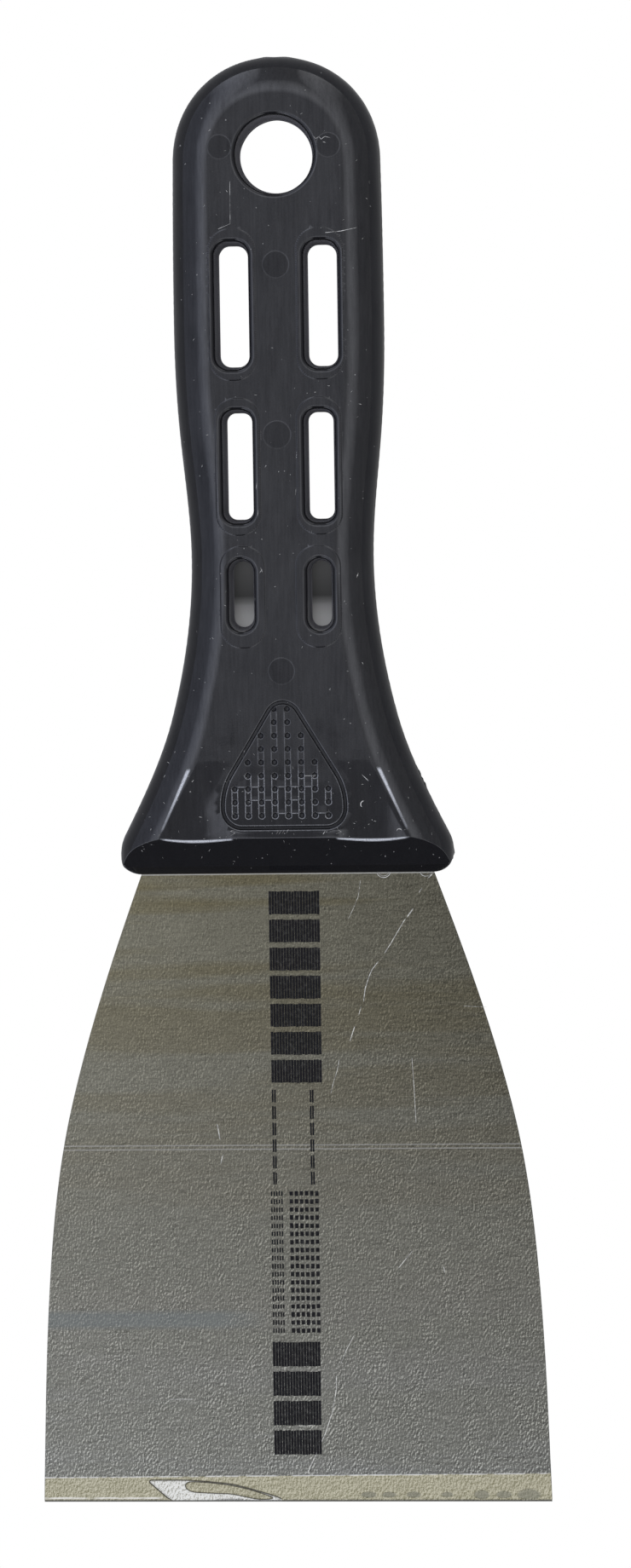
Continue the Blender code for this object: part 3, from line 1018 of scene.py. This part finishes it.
def make_print():
    """Ink film on the blade's face."""
    bars = []
    for x0, x1, y0, y1 in ink_strokes():
        corners = ((x0, y0), (x1, y0), (x1, y1), (x0, y1))
        bars.append(([(x, y, z) for z in INK_LEVELS for x, y in corners], BAR_FACES))
    return joined("ink_print", bars)


# Scuffs, flakes and fluff

# Marks on the handle's face: width, then the points that each one runs through
HANDLE_SCUFFS = (
    (0.07, (7.6, 98.0), (10.0, 98.2), (12.4, 98.7)),
    (0.12, (11.6, 45.8), (11.85, 46.5)),
    (0.1, (-14.1, 14.8), (-13.85, 15.1)),
    (0.06, (-1.3, 6.6), (-0.8, 7.4)), (0.06, (-0.9, 6.6), (-0.4, 7.4)),
    (0.05, (-0.4, 6.7), (0.0, 7.3)), (0.05, (0.2, 6.7), (0.6, 7.3)),
    (0.06, (5.9, 6.5), (6.3, 7.2)), (0.06, (-8.4, 6.4), (-7.6, 6.9), (-8.3, 7.2), (-7.5, 7.4)),
    (0.07, (7.9, 6.6), (8.7, 6.9), (8.2, 7.3)),
    (0.05, (5.9, 112.6), (6.4, 112.1), (6.9, 112.4), (7.2, 112.0), (7.8, 112.4), (8.6, 112.2)),
    (0.04, (-6.7, 106.0), (-6.75, 99.6), (-8.7, 98.8)),
    (0.05, (3.0, 15.6), (5.0, 15.6)),
    (0.06, (12.0, 15.7), (13.0, 14.7)),
    (0.05, (2.7, 64.0), (2.8, 65.1)), (0.05, (2.5, 58.5), (2.6, 59.6)),
    (0.08, (-3.2, 46.7), (-2.7, 47.3)), (0.07, (-2.7, 46.8), (-3.0, 47.5)),
    (0.05, (-3.5, 59.4), (-3.3, 60.7)), (0.05, (-3.3, 55.3), (-3.2, 56.4)),
)
# Bent marks on the handle, and half-round flakes in the lacquer under the flange:
# (x, y, radius, width, start and end of turn)
CURLS = ((12.3, 11.1, 0.55, 0.1, 1.6, 4.0), (17.6, 6.9, 0.4, 0.08, 0.2, 3.0))
FLAKES = (
    (14.9, 0.25, 1.1, 0.09, 3.2, 6.2),
    (21.4, 0.2, 0.9, 0.08, 3.4, 6.0),
    (14.9, 0.25, 0.85, 0.05, 3.4, 6.0),
)
FIBRES = 170
# How far the bars of scuffs and scratches stand out, and how deep they are sunk
SCUFF_HEIGHT = 0.008
SCRATCH_HEIGHT = 0.004
BAR_SUNK = 0.02


def strip(points, width, face, height=SCUFF_HEIGHT):
    """Vertices and faces of a low pointed bar laid along a line on a face."""
    count = len(points)
    taper = np.clip(np.minimum(np.arange(count), np.arange(count)[::-1]) / 2, 0.25, 1)
    side = leftward(points) * (taper * width / 2)[:, None]
    rows = []
    for sign, lift in ((-1, -BAR_SUNK), (-1, height), (1, height), (1, -BAR_SUNK)):
        edge = points + sign * side
        rows.append(np.column_stack((edge, face(*edge.T) + lift)))
    vertices = np.stack(rows, axis=1).reshape(-1, 3)
    faces = [(0, 1, 2, 3), tuple(4 * (count - 1) + k for k in (3, 2, 1, 0))]
    for row in range(count - 1):
        for k in range(4):
            a, b = 4 * row + k, 4 * row + (k + 1) % 4
            faces.append((a, a + 4, b + 4, b))
    return vertices, faces


def joined(name, strips):
    """One object from several strips or bars."""
    vertices, faces, first = [], [], 0
    for points, polygons in strips:
        vertices.append(points)
        faces += [[first + i for i in polygon] for polygon in polygons]
        first += len(points)
    mesh = bpy.data.meshes.new(name)
    mesh.from_pydata(np.concatenate(vertices) * MM, [], faces)
    return placed(name, mesh)


def fluff():
    """Short random fibres, thickest near the flange's corners."""
    lines = []
    while len(lines) < FIBRES:
        x, y = RANDOM.uniform(-24, 24), RANDOM.uniform(1.0, HANDLE_LENGTH - 2)
        if y > 20 and RANDOM.random() < 0.75:
            continue
        turn, length = RANDOM.uniform(0, math.pi), RANDOM.uniform(0.12, 0.5)
        bend = RANDOM.uniform(-0.6, 0.6)
        t = np.linspace(0, 1, 5)
        line = np.column_stack((
            x + length * t * math.cos(turn) - bend * length * t * (1 - t) * math.sin(turn),
            y + length * t * math.sin(turn) + bend * length * t * (1 - t) * math.cos(turn),
        ))
        if in_handle(*line.T, 1.4).all():
            lines.append((RANDOM.uniform(0.03, 0.07), line))
    return lines


def traced(marks):
    """Lines of points along a table of marks, with their widths."""
    lines = []
    for width, *path in marks:
        lines.append((width, chain(*[straight(a, b, 0.15) for a, b in zip(path, path[1:])])))
    return lines


def curled(marks, spacing):
    """Arcs of points along a table of bent marks, with their widths."""
    return [(width, arc(x, y, r, start, end, spacing)) for x, y, r, width, start, end in marks]


def make_scuffs():
    lines = traced(HANDLE_SCUFFS) + curled(CURLS, 0.12) + fluff()
    return joined("handle_scuffs", [strip(line, width, upper_face) for width, line in lines])


def make_flakes():
    return joined("lacquer_flakes", [strip(line, width, upper_blade) for width, line in curled(FLAKES, 0.15)])


def make_scratches():
    strips = [strip(line, width, blade_face, SCRATCH_HEIGHT) for width, line in traced(BLADE_SCRATCHES)]
    return joined("blade_scratches", strips)


# Materials


class Nodes:
    """Shader nodes, made one call at a time."""

    def __init__(self, tree):
        self.tree = tree
        self.shader = tree.nodes.get("Principled BSDF")

    def add(self, kind, inputs, output=0, **settings):
        node = self.tree.nodes.new("ShaderNode" + kind)
        for key, value in settings.items():
            setattr(node, key, value)
        for key, value in inputs.items():
            if isinstance(value, bpy.types.NodeSocket):
                self.tree.links.new(value, node.inputs[key])
            else:
                node.inputs[key].default_value = value
        return node.outputs[output]

    def math(self, operation, a, b=0.0):
        return self.add("Math", {0: a, 1: b}, operation=operation)

    def plus(self, *values):
        return reduce(lambda a, b: self.math("ADD", a, b), values)

    def times(self, *values):
        return reduce(lambda a, b: self.math("MULTIPLY", a, b), values)

    def most(self, *values):
        return reduce(lambda a, b: self.math("MAXIMUM", a, b), values)

    def apart(self, a, b):
        """How far two values are apart."""
        return self.math("ABSOLUTE", self.math("SUBTRACT", a, b))

    def position(self, scale=(1.0, 1.0, 1.0), shift=(0.0, 0.0, 0.0)):
        """Object coordinates in millimetres, stretched by scale and then shifted."""
        place = self.add("TexCoord", {}, "Object")
        scale = tuple(s / MM for s in scale)
        return self.add("Mapping", {"Vector": place, "Scale": scale, "Location": shift})

    def noise(self, scale, detail=2.0, roughness=0.5, stretch=(1.0, 1.0, 1.0), shift=(0.0, 0.0, 0.0)):
        inputs = {"Vector": self.position(stretch, shift), "Scale": scale}
        return self.add("TexNoise", inputs | {"Detail": detail, "Roughness": roughness})

    def painted_relief(self, scale, shift, **settings):
        """How much a noise falls over a short shift: painted light and shade of small raised spots lit from
        one side.
        """
        still = self.noise(scale, **settings)
        return self.math("SUBTRACT", still, self.noise(scale, shift=shift, **settings))

    def between(self, value, low, high, to_low=0.0, to_high=1.0):
        inputs = {"Value": value, 1: low, 2: high, 3: to_low, 4: to_high}
        return self.add("MapRange", inputs)

    def steps(self, value, levels):
        """Value turned into a level, straight between the given (value, level) pairs."""
        most = max(level for _, level in levels)
        node = self.tree.nodes.new("ShaderNodeValToRGB")
        stops = node.color_ramp.elements
        for k, (place, level) in enumerate(levels):
            stop = stops[k] if k < 2 else stops.new(place)
            stop.position = place
            stop.color = grey(level / most)
        self.tree.links.new(value, node.inputs["Fac"])
        return self.times(node.outputs["Color"], most)

    def mix(self, share, a, b):
        return self.add("Mix", {0: share, 6: a, 7: b}, 2, data_type="RGBA")

    def bump(self, height, depth, before=None):
        """Bump whose full range of height is depth, in millimetres."""
        inputs = {"Height": height, "Distance": depth * MM, "Strength": 1.0}
        if before is not None:
            inputs["Normal"] = before
        return self.add("Bump", inputs)

    def specks(self, scale, least, most):
        """1 in scattered round specks of random sizes, and 0 elsewhere."""
        inputs = {"Vector": self.position((1.0, 1.0, 0.0)), "Scale": scale, "Randomness": 1.0}
        gap = self.add("TexVoronoi", inputs, "Distance")
        cell = self.add("SeparateColor", {"Color": self.add("TexVoronoi", inputs, "Color")}, 0)
        size = self.between(self.math("POWER", cell, 2.5), 0.0, 1.0, least, most)
        return self.math("LESS_THAN", gap, size)

    def attribute(self, name):
        return self.add("Attribute", {}, "Fac", attribute_name=name)

    def feed(self, **sockets):
        for socket, value in sockets.items():
            self.tree.links.new(value, self.shader.inputs[socket.replace("_", " ")])


def surface(name, **settings):
    """A new material and its nodes, with fixed values for some of its sockets."""
    material = bpy.data.materials.new(name)
    material.use_nodes = True
    n = Nodes(material.node_tree)
    for socket, value in settings.items():
        n.shader.inputs[socket.replace("_", " ")].default_value = value
    return n, material


def grey(level, tint=(1.0, 1.0, 1.0)):
    return (*(level * t for t in tint), 1.0)


BLACK = (0.98, 0.98, 1.2)
SHEEN = (0.91, 0.93, 1.0)


def black_plastic():
    """Glossy moulded plastic: tool streaks, slight waves, dust, pale crests that are partly wear and partly
    painted highlight, pale thumb rest edges of painted highlight, and paler opening walls of painted light.
    """
    n, material = surface("black_plastic", Metallic=0.0, IOR=1.46, Specular_Tint=grey(1.0, SHEEN))
    streaks = n.noise(2.6, 3.0, 0.65, stretch=(1.0, 0.06, 1.0))
    clouds = n.noise(0.09, 2.0)
    patches = n.noise(0.35, 4.0, 0.65, stretch=(1.0, 0.4, 1.0))
    grain = n.noise(6.0, 3.0, 0.6)
    crest_wear_and_highlight, wall, edge = n.attribute("crest"), n.attribute("wall"), n.attribute("edge")
    dust = n.most(n.specks(0.42, -0.02, 0.055), n.specks(1.1, -0.05, 0.1))
    base = n.mix(n.between(grain, 0.3, 0.7), grey(0.0035, BLACK), grey(0.0065, BLACK))
    base = n.mix(dust, base, grey(0.11))
    # Painted light: the openings' walls are a pale grey instead of black, standing in for light falling on
    # them.
    base = n.mix(n.math("GREATER_THAN", wall, 0.6), base, grey(0.1, (0.98, 0.98, 1.1)))
    pale = n.most(
        # Crests: pale partly from wear and partly as painted highlight.
        n.times(crest_wear_and_highlight, n.between(grain, 0.3, 0.5, 0.35, 0.85)),
        # Thumb rest borders and dimples' lower sides: pale as painted highlight.
        n.times(edge, n.between(grain, 0.35, 0.6, 0.08, 0.45)),
    )
    base = n.mix(pale, base, grey(0.42, (0.94, 0.98, 1.08)))
    rough = n.plus(n.between(clouds, 0.3, 0.7, 0.035, 0.05), n.between(patches, 0.5, 0.7, 0.0, 0.05))
    rough = n.most(rough, n.times(n.most(crest_wear_and_highlight, dust), 0.4), n.times(wall, 0.6))
    shine = n.plus(
        n.between(streaks, 0.25, 0.75, 0.37, 0.55),
        n.between(patches, 0.3, 0.7, -0.06, 0.08),
        n.between(grain, 0.3, 0.7, -0.035, 0.035),
    )
    # Painted highlights and shade: light and dark lines round the pads, the mouths and the ejector marks
    # scale the specular strength.
    shine_and_painted_light = n.between(n.attribute("shine_and_painted_light"), 0.0, 1.0, 0.3, 1.7)
    shine = n.times(shine, n.between(wall, 0.0, 1.0, 1.0, 0.25), shine_and_painted_light)
    normal = None
    for height, depth in ((clouds, 0.05), (patches, 0.006), (streaks, 0.0012), (grain, 0.0006)):
        normal = n.bump(height, depth, normal)
    n.feed(Base_Color=base, Roughness=rough, Specular_IOR_Level=shine, Normal=normal)
    return material


# Where marks cross the blade, and where it takes on the look of the tang in the windows
ROLLER_LINES = (-43.3, -42.68)
BLUE_BAND = -70.3
LIP_LINE = -0.12
TANG_FROM = 5.0


def lacquer(n, across, along, rolled, cross, fine, bump_shading):
    """Colour of the lacquered face: darker and yellower towards the flange, with the mill's marks, painted
    light and shade of small raised spots, and painted light that makes it lighter to the left and darker to
    the right, most of all near the flange.
    """
    lower = n.between(along, -95.0, -5.0, 1.0, 0.0)
    bands = n.noise(0.06, 3.0, 0.55, stretch=(0.2, 2.6, 1.0))
    columns = n.between(n.noise(0.35, 2.0, stretch=(1.5, 0.4, 1.0)), 0.38, 0.62, 0.65, 1.3)
    tone = n.mix(lower, grey(0.07, (1.13, 1.01, 0.64)), grey(0.122, (0.99, 1.0, 0.95)))
    tone = n.mix(n.between(bands, 0.45, 0.56, 0.0, 0.5), tone, grey(0.106, (1.0, 1.0, 0.87)))
    # Painted light and shade of small raised spots, with painted highlights where they stand highest.
    painted_relief = n.plus(n.between(bump_shading, -0.12, 0.12, -0.28, 0.24), n.between(bump_shading, 0.075, 0.13))
    shade = n.plus(
        n.between(rolled, 0.25, 0.75, 0.76, 1.16),
        n.between(cross, 0.25, 0.75, -0.18, 0.18),
        n.between(fine, 0.3, 0.7, -0.27, 0.33),
        n.times(painted_relief, columns, n.between(lower, 0.0, 1.0, 0.3, 1.0)),
        # Painted light: lighter to the left and darker to the right, most of all near the flange.
        n.times(n.between(lower, 0.0, 0.6, -0.0105, -0.0025), across),
    )
    tone = n.add("VectorMath", {0: tone, 1: shade}, operation="MULTIPLY")
    blue = n.between(n.apart(along, BLUE_BAND), 0.8, 1.7, 0.45, 0.0)
    blue = n.times(blue, n.between(across, -12.0, -4.0, 1.0, 0.0))
    tone = n.mix(blue, tone, grey(0.11, (0.86, 1.0, 1.06)))
    roller = n.most(*[n.between(n.apart(along, y), 0.04, 0.13, 1.0, 0.0) for y in ROLLER_LINES])
    tone = n.mix(n.times(roller, 0.4), tone, grey(0.3))
    return n.mix(n.between(n.apart(along, LIP_LINE), 0.03, 0.1, 0.6, 0.0), tone, grey(0.4))


def ground_strip(n, across, along, rolled, fine, bump_shading):
    """Colour of the ground strip: grit with painted light and shade of small raised spots, dents, a scrape,
    and the chip in the lacquer, mottled the same way, with its outline.
    """
    from_edge = n.plus(along, BLADE_SHOWN)
    grit = n.plus(fine, n.between(bump_shading, -0.12, 0.12, -0.18, 0.18), n.between(rolled, 0.3, 0.7, -0.12, 0.12))
    tone = n.mix(n.between(grit, 0.25, 0.8), grey(0.11, (1.06, 1.0, 0.64)), grey(0.3, (1.05, 1.0, 0.78)))
    tone = n.mix(n.times(n.attribute("dented"), 0.65), tone, grey(0.1, (1.0, 1.0, 0.82)))
    scrape = n.times(
        n.between(n.apart(from_edge, 0.62), 0.08, 0.22, 0.8, 0.0),
        n.between(across, -20.5, -22.0),
        n.between(n.noise(0.5, 3.0, stretch=(0.4, 3.0, 1.0)), 0.4, 0.52),
    )
    tone = n.mix(scrape, tone, grey(0.42, (1.02, 1.0, 0.95)))
    mottle = n.between(n.plus(fine, n.between(bump_shading, -0.12, 0.12, -0.2, 0.2)), 0.25, 0.5)
    chip = n.mix(mottle, grey(0.18, (1.02, 1.0, 0.86)), grey(0.4, (1.0, 1.0, 0.96)))
    tone = n.mix(n.attribute("chipped"), tone, chip)
    tone = n.mix(n.times(n.attribute("scarred"), 0.9), tone, grey(0.02, (1.1, 1.0, 0.7)))
    return n.mix(n.between(from_edge, 0.2, 0.4, 0.8, 0.0), tone, grey(0.07))


def tang_tone(n, along):
    """Colour of the steel in the windows, in the mould's shade at their upper ends."""
    shown = n.mix(n.between(along, 37.5, 42.0), grey(0.28), grey(0.1))
    shaded = n.mix(n.between(along, 43.0, 48.5), grey(0.03), grey(0.055))
    return n.mix(n.between(along, 41.6, 43.0), shown, shaded)


def steel():
    """Rolled steel under a thin yellowed lacquer, bare and ground along its working edge."""
    n, material = surface("lacquered_steel", Metallic=1.0)
    across = n.add("SeparateXYZ", {"Vector": n.position()}, "X")
    along = n.add("SeparateXYZ", {"Vector": n.position()}, "Y")
    along = n.math("SUBTRACT", along, CENTRE.y / MM)
    rolled = n.noise(1.0, 4.0, 0.7, stretch=(0.2, 3.6, 1.0))
    cross = n.noise(1.0, 4.0, 0.7, stretch=(3.8, 0.5, 1.0))
    fine = n.noise(5.2, 2.0, 0.7)
    # Painted light and shade of small raised spots lit from one side, used in the colour only.
    bump_shading = n.painted_relief(2.7, (0.1, -0.08, 0.0), detail=1.5, roughness=0.5, stretch=(1.15, 0.75, 1.0))
    tone = lacquer(n, across, along, rolled, cross, fine, bump_shading)
    leant = n.math("SUBTRACT", along, n.times(across, GRIND_SLANT))
    start = GRIND_WIDTH - BLADE_SHOWN
    strip_tone = ground_strip(n, across, along, rolled, fine, bump_shading)
    tone = n.mix(n.math("LESS_THAN", leant, start), tone, strip_tone)
    line = n.between(n.apart(leant, start), 0.05, 0.14, 0.7, 0.0)
    tone = n.mix(n.times(line, n.between(n.noise(0.8, 2.0), 0.4, 0.55)), tone, grey(0.4))
    tone = n.mix(n.math("GREATER_THAN", along, TANG_FROM), tone, tang_tone(n, along))
    rough = n.between(rolled, 0.2, 0.8, 0.27, 0.36)
    normal = n.bump(cross, 0.002, n.bump(rolled, 0.002))
    n.feed(Base_Color=tone, Roughness=rough, Normal=normal)
    return material


def pale_marks():
    """Scratched plastic, fibres and lifted lacquer, all pale and dull."""
    n, material = surface("pale_marks", Metallic=0.0, Roughness=0.5, Specular_IOR_Level=0.3)
    patches = n.noise(0.8, 2.0)
    n.feed(Base_Color=n.mix(n.between(patches, 0.4, 0.6), grey(0.08), grey(0.42)))
    return material


def bare_steel():
    """Steel scratched through its lacquer."""
    n, material = surface("bare_steel", Metallic=1.0, Roughness=0.35)
    patches = n.noise(1.4, 3.0, 0.7)
    n.feed(Base_Color=n.mix(n.between(patches, 0.38, 0.6), grey(0.14), grey(0.45, (1.0, 1.0, 0.96))))
    return material


def ink():
    n, material = surface("black_ink", Metallic=0.0, Specular_IOR_Level=0.06)
    patches = n.noise(1.6, 4.0, 0.7)
    tone = n.mix(n.between(patches, 0.5, 0.8), grey(0.004, (1.0, 1.0, 1.3)), grey(0.03))
    rough = n.between(patches, 0.3, 0.7, 0.45, 0.6)
    n.feed(Base_Color=tone, Roughness=rough)
    return material


# Stage

# Radiance by the upward part of the direction, by its sideways part, and by its part to the front
OVERHEAD = (
    (0.0, 0.6), (0.5, 0.75), (0.68, 0.85), (0.82, 1.8), (0.94, 2.3), (0.97, 1.8), (0.992, 1.07), (1.0, 1.06),
)
BESIDE = ((0.0, 0.0), (0.12, 0.0), (0.2, 1.6), (0.34, 2.2), (0.55, 1.7), (0.7, 0.7), (1.0, 0.6))
IN_FRONT = ((0.0, 0.58), (0.25, 0.58), (0.3, 2.4), (0.52, 2.4), (0.62, 0.5), (0.85, 0.12), (1.0, 0.1))
# The front edge of the light overhead, as the direction's y, and how far it leans with x
SOFTBOX_EDGE = (-0.083, -0.0818)
SOFTBOX_SLANT = 0.02
# What the radiance in front turns into towards the sides
AT_THE_SIDE = 0.7


def camera():
    """The camera of the reference view: nearly overhead, a little to the right and behind the flange."""
    data = bpy.data.cameras.new("camera")
    data.sensor_width = 36.0
    data.lens = 88.99
    data.clip_end = 100.0
    obj = bpy.data.objects.new("camera", data)
    turn = Matrix((
        (0.99850, 0.01071, 0.05354),
        (-0.01525, 0.99626, 0.08508),
        (-0.05243, -0.08577, 0.99494),
    ))
    obj.matrix_world = Matrix.Translation(Vector((36.66, 52.07, 603.56)) * MM) @ turn.to_4x4()
    bpy.context.scene.collection.objects.link(obj)
    bpy.context.scene.camera = obj


def shown_white(tree, shader, output, strength):
    """Makes what the camera sees directly plain white, and leaves what lights the object."""
    path = tree.nodes.new("ShaderNodeLightPath")
    kind = "Emission" if output.bl_idname == "ShaderNodeOutputMaterial" else "Background"
    white = tree.nodes.new("ShaderNode" + kind)
    white.inputs["Strength"].default_value = strength
    mix = tree.nodes.new("ShaderNodeMixShader")
    tree.links.new(path.outputs["Is Camera Ray"], mix.inputs[0])
    tree.links.new(shader, mix.inputs[1])
    tree.links.new(white.outputs[0], mix.inputs[2])
    tree.links.new(mix.outputs[0], output.inputs["Surface"])


def sky(n):
    """Radiance of the studio by direction: a soft ring overhead, dark in front of the knife."""
    towards = n.add("TexCoord", {}, "Generated")
    across, along, up = (n.add("SeparateXYZ", {"Vector": towards}, axis) for axis in "XYZ")
    ring = n.steps(up, OVERHEAD)
    front = n.steps(n.times(along, -1.0), IN_FRONT)
    front = n.plus(front, n.times(across, across, n.math("SUBTRACT", AT_THE_SIDE, front)))
    edge = n.between(n.plus(along, n.times(across, SOFTBOX_SLANT)), *SOFTBOX_EDGE)
    level = n.plus(front, n.times(edge, n.math("SUBTRACT", ring, front)))
    level = n.most(level, n.steps(n.math("ABSOLUTE", across), BESIDE))
    level = n.times(level, n.between(across, -0.5, 0.5, 1.14, 0.88))
    tint = n.mix(n.between(across, -0.7, 0.1), grey(1.0, (0.93, 0.97, 1.1)), grey(1.0))
    return tint, level


def studio():
    world = bpy.data.worlds.new("studio")
    world.use_nodes = True
    n = Nodes(world.node_tree)
    background = n.tree.nodes["Background"]
    for socket, value in zip(("Color", "Strength"), sky(n)):
        n.tree.links.new(value, background.inputs[socket])
    shown_white(n.tree, background.outputs[0], n.tree.nodes["World Output"], 1.0)
    bpy.context.scene.world = world


def floor():
    size = 8.0
    mesh = bpy.data.meshes.new("floor")
    corners = [(-size, -size, 0), (size, -size, 0), (size, size, 0), (-size, size, 0)]
    mesh.from_pydata(corners, [], [(0, 1, 2, 3)])
    obj = bpy.data.objects.new("floor", mesh)
    bpy.context.scene.collection.objects.link(obj)
    n, material = surface("pale_floor", Roughness=0.9)
    n.shader.inputs["Base Color"].default_value = grey(0.22)
    shown_white(n.tree, n.shader.outputs[0], n.tree.nodes["Material Output"], 1.0)
    mesh.materials.append(material)


# Assembly

camera()
studio()
floor()
bpy.context.scene.view_settings.view_transform = "Standard"

handle = make_handle()
handle.data.materials.append(black_plastic())
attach(handle, "root")
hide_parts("handle")

blade = make_blade()
blade.data.materials.append(steel())
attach(blade, "root")
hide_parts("blade")

marks = make_print()
marks.data.materials.append(ink())
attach(marks, "root")

scratches = make_scratches()
scratches.data.materials.append(bare_steel())
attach(scratches, "root")

pale = pale_marks()
for mark in (make_scuffs(), make_flakes()):
    mark.data.materials.append(pale)
    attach(mark, "root")
